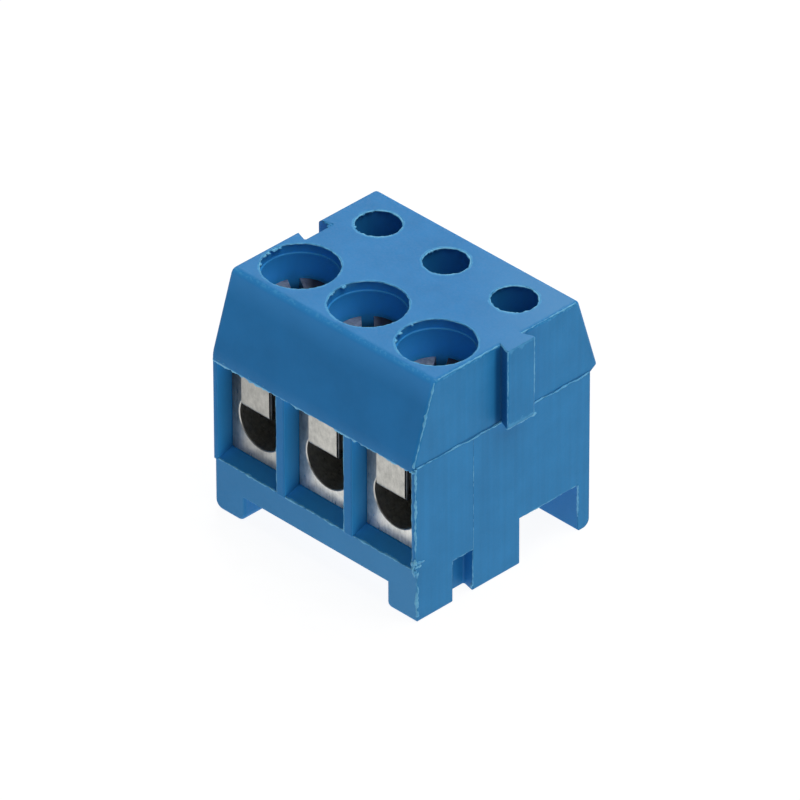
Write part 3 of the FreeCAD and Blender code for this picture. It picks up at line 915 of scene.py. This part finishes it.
def make_screw(pole, slot_angle, material):
    """One clamp screw in place of its plain CAD shape."""
    node_name = f"clamp_screw_{pole}"
    low, high = box_mm(node_name)
    axis = (low + high) / 2
    tip, top = low.z, high.z
    under_head = top - HEAD_HEIGHT
    slot_floor = top - SLOT_DEPTH
    rows = [level_row(tip, TIP_RADIUS)]
    count = round((under_head - tip) / THREAD_PITCH * THREAD_ROWS)
    for row in range(1, count):
        height = tip + (under_head - tip) * row / count
        widest = TIP_RADIUS + (height - tip) / TIP_CHAMFER * (THREAD_MAJOR - TIP_RADIUS)
        radii = [min(widest, thread_radius(height, side / SCREW_SIDES)) for side in range(SCREW_SIDES)]
        rows.append((height, radii))
    rows.append(level_row(under_head, THREAD_MINOR))
    rows.append(level_row(under_head, HEAD_RADIUS - HEAD_UNDERCUT))
    rows.append(level_row(under_head + HEAD_UNDERCUT, HEAD_RADIUS))
    rows.append(level_row(slot_floor, HEAD_RADIUS))
    shape = bmesh.new()
    add_turned_shape(shape, axis, rows)
    for turn in (0.0, math.pi):
        add_head_half(shape, axis, math.radians(slot_angle) + turn, slot_floor - 0.01, top)
    screw = finish_piece(f"threaded_screw_{pole}", shape, material, node_name)
    screw.data.set_sharp_from_angle(angle=math.radians(35))
    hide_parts(node_name)


# ---- stage ----
def make_floor():
    """A wide sheet of white paper, a hair below the feet."""
    half = 3.0
    mesh = bpy.data.meshes.new("floor")
    corners = [(-half, -half, 0), (half, -half, 0), (half, half, 0), (-half, half, 0)]
    mesh.from_pydata(corners, [], [(0, 1, 2, 3)])
    floor = bpy.data.objects.new("floor", mesh)
    floor.location.z = (HOUSING_LOW.z - 0.01) * MM
    bpy.context.scene.collection.objects.link(floor)
    mesh.materials.append(floor_material())


def area_light(name, place, size, power):
    """A round softbox that faces the middle of the block; its place and size are in metres."""
    data = bpy.data.lights.new(name, "AREA")
    data.shape = "DISK"
    data.size = size
    data.energy = power
    light = bpy.data.objects.new(name, data)
    light.location = place
    aim = Vector((0, 0, TOP / 2 * MM))
    light.rotation_euler = (aim - Vector(place)).to_track_quat("-Z", "Y").to_euler()
    bpy.context.scene.collection.objects.link(light)


def make_lights():
    """A large softbox above, a smaller one behind on the left, and a faint cool sky."""
    area_light("softbox_above", place=(0.085, 0.080, 0.43), size=0.42, power=1.58)
    area_light("softbox_behind", place=(-0.32, 0.31, 0.31), size=0.30, power=0.75)
    world = bpy.data.worlds.new("studio")
    world.use_nodes = True
    background = world.node_tree.nodes["Background"]
    background.inputs["Color"].default_value = (0.92, 0.96, 1.0, 1.0)
    background.inputs["Strength"].default_value = 0.08
    bpy.context.scene.world = world


def make_camera():
    """A long lens that looks down on the corner between the wire entries and the right end."""
    azimuth = math.radians(45.40)
    elevation = math.radians(34.10)
    roll = math.radians(-0.15)
    distance = 620.0
    width_in_view = 41.59
    left_of_middle = 0.235
    below_middle = 0.02
    back = Vector((
        math.sin(azimuth) * math.cos(elevation),
        -math.cos(azimuth) * math.cos(elevation),
        math.sin(elevation),
    ))
    right = Vector((math.cos(azimuth), math.sin(azimuth), 0))
    aim = Vector((0, 0, TOP / 2 - below_middle)) - left_of_middle * right
    data = bpy.data.cameras.new("camera")
    data.sensor_width = 36.0
    data.lens = data.sensor_width * distance / width_in_view
    data.clip_start = 0.01
    data.clip_end = 20.0
    camera = bpy.data.objects.new("camera", data)
    camera.location = (aim + back * distance) * MM
    turn = (-back).to_track_quat("-Z", "Y").to_matrix()
    camera.rotation_euler = (turn @ Matrix.Rotation(roll, 3, "Z")).to_euler()
    bpy.context.scene.collection.objects.link(camera)
    bpy.context.scene.camera = camera


def main():
    bpy.context.scene.view_settings.view_transform = "Standard"
    make_camera()
    make_lights()
    make_floor()
    housing_finish = moulded_plastic()
    dress("housing", housing_finish)
    make_notch_flash(housing_finish)
    block_finish = block_metal()
    screw_finish = screw_metal()
    contact_finish = contact_metal()
    guard_finish = guard_metal()
    for pole in POLES:
        dress(f"clamp_block_{pole}", block_finish)
        make_screw(pole, SLOT_ANGLES[pole - 1], screw_finish)
        dress(f"wire_guard_{pole}", guard_finish)
        dress(f"socket_contact_{pole}", contact_finish)
    flash_finish = thin_plastic()
    for make_flash in (
        make_cap_flash, make_split_flash, make_rib_flash,
        make_hole_flash, make_front_flash, make_lower_flash,
    ):
        make_flash(flash_finish)


main()
